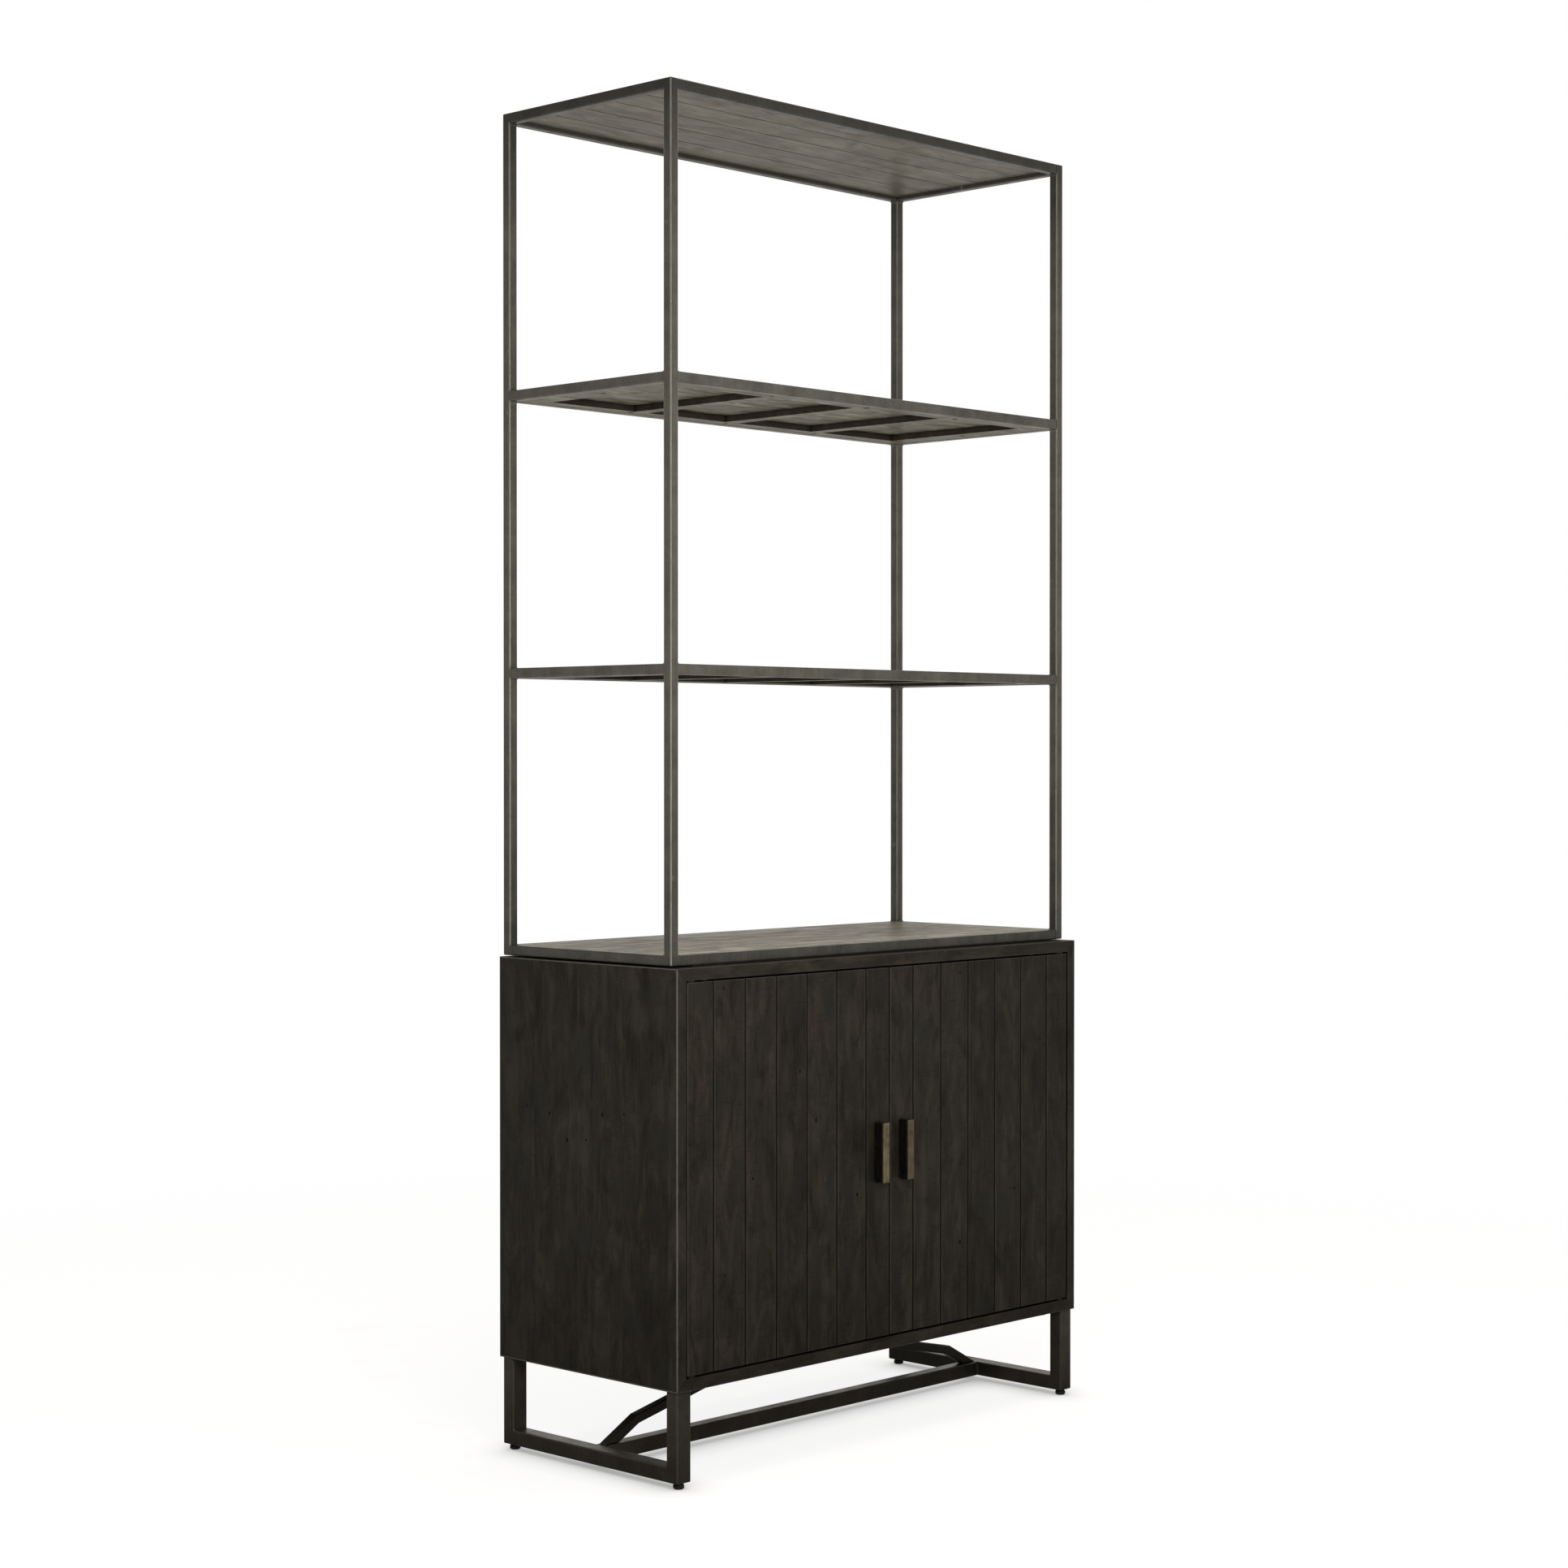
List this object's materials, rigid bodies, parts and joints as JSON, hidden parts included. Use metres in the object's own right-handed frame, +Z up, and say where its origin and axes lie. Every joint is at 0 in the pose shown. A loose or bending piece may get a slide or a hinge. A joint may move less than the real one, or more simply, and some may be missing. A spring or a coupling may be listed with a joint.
{
  "type": "bookcase with adjustable shelves",
  "caption": "Tall storage bookcase: an open tube-frame shelf unit on a closed two-door cabinet, which holds a height-adjustable shelf and stands on a braced tube base.",
  "frame": {"origin": "on the floor, under the middle of the whole object, handles included", "axes": "+Z up, the doors face -Y, +X to the right of someone facing the doors"},
  "size_m": [1, 0.444, 2.222],
  "materials": {
    "dark_stained_wood": "very dark brown-black stain, low sheen",
    "grey_stained_wood": "weathered grey-brown stain, matte",
    "dark_grey_paint": "warm dark grey powder coat, satin",
    "black_metal": "matte black",
    "black_plastic": "moulded, matte",
    "black_rubber": "matte",
    "aged_brass": "brushed and darkened",
    "zinc_steel": "zinc plated"
  },
  "bodies": {
    "cabinet": {"bottom_panel": "dark_stained_wood", "top_panel": "dark_stained_wood", "left_side_panel": "dark_stained_wood", "right_side_panel": "dark_stained_wood", "back_panel": "dark_stained_wood", "base_boards": "grey_stained_wood", "lower_shelf_boards": "grey_stained_wood", "upper_shelf_boards": "grey_stained_wood", "top_boards": "grey_stained_wood", "lower_shelf_battens": "grey_stained_wood", "upper_shelf_battens": "grey_stained_wood", "left_end_frame": "dark_grey_paint", "right_end_frame": "dark_grey_paint", "left_leg_frame": "dark_grey_paint", "right_leg_frame": "dark_grey_paint", "floor_rail": "dark_grey_paint", "arch_brace": "dark_grey_paint", "base_front_rail": "dark_grey_paint", "base_back_rail": "dark_grey_paint", "lower_shelf_front_rail": "dark_grey_paint", "lower_shelf_back_rail": "dark_grey_paint", "upper_shelf_front_rail": "dark_grey_paint", "upper_shelf_back_rail": "dark_grey_paint", "top_front_rail": "dark_grey_paint", "top_back_rail": "dark_grey_paint", "left_magnetic_catch": "black_plastic", "left_lower_bush": "black_plastic", "left_upper_bush": "black_plastic", "left_front_leg_bolt": "zinc_steel", "left_front_frame_bolt": "zinc_steel", "left_back_leg_bolt": "zinc_steel", "left_back_frame_bolt": "zinc_steel", "right_magnetic_catch": "black_plastic", "right_lower_bush": "black_plastic", "right_upper_bush": "black_plastic", "right_front_leg_bolt": "zinc_steel", "right_front_frame_bolt": "zinc_steel", "right_back_leg_bolt": "zinc_steel", "right_back_frame_bolt": "zinc_steel", "front_pad_strip": "black_rubber", "back_pad_strip": "black_rubber"},
    "left_door": {"left_door": "dark_stained_wood", "left_handle": "black_metal", "left_handle_face": "aged_brass", "left_lower_pivot_pin": "black_metal", "left_upper_pivot_pin": "black_metal"},
    "right_door": {"right_door": "dark_stained_wood", "right_handle": "black_metal", "right_handle_face": "aged_brass", "right_lower_pivot_pin": "black_metal", "right_upper_pivot_pin": "black_metal"},
    "adjustable_shelf": {"adjustable_shelf": "dark_stained_wood", "left_front_shelf_peg": "zinc_steel", "left_back_shelf_peg": "zinc_steel", "right_front_shelf_peg": "zinc_steel", "right_back_shelf_peg": "zinc_steel"},
    "left_front_foot": {"left_front_levelling_foot": "black_plastic"},
    "left_back_foot": {"left_back_levelling_foot": "black_plastic"},
    "right_front_foot": {"right_front_levelling_foot": "black_plastic"},
    "right_back_foot": {"right_back_levelling_foot": "black_plastic"}
  },
  "joints": [
    {"name": "left_door_hinge", "type": "hinge", "parent": "cabinet", "child": "left_door", "pos_m": [-0.4635, -0.1925, 0.178], "axis": [0, 0, -1], "range_deg": [0, 110]},
    {"name": "right_door_hinge", "type": "hinge", "parent": "cabinet", "child": "right_door", "pos_m": [0.4635, -0.1925, 0.178], "axis": [0, 0, 1], "range_deg": [0, 110]},
    {"name": "shelf_height", "type": "slide", "parent": "cabinet", "child": "adjustable_shelf", "axis": [0, 0, 1], "range_m": [0, 0.192]},
    {"name": "left_front_foot_height", "type": "slide", "parent": "cabinet", "child": "left_front_foot", "axis": [0, 0, -1], "range_m": [0, 0.01]},
    {"name": "left_back_foot_height", "type": "slide", "parent": "cabinet", "child": "left_back_foot", "axis": [0, 0, -1], "range_m": [0, 0.01]},
    {"name": "right_front_foot_height", "type": "slide", "parent": "cabinet", "child": "right_front_foot", "axis": [0, 0, -1], "range_m": [0, 0.01]},
    {"name": "right_back_foot_height", "type": "slide", "parent": "cabinet", "child": "right_back_foot", "axis": [0, 0, -1], "range_m": [0, 0.01]}
  ]
}
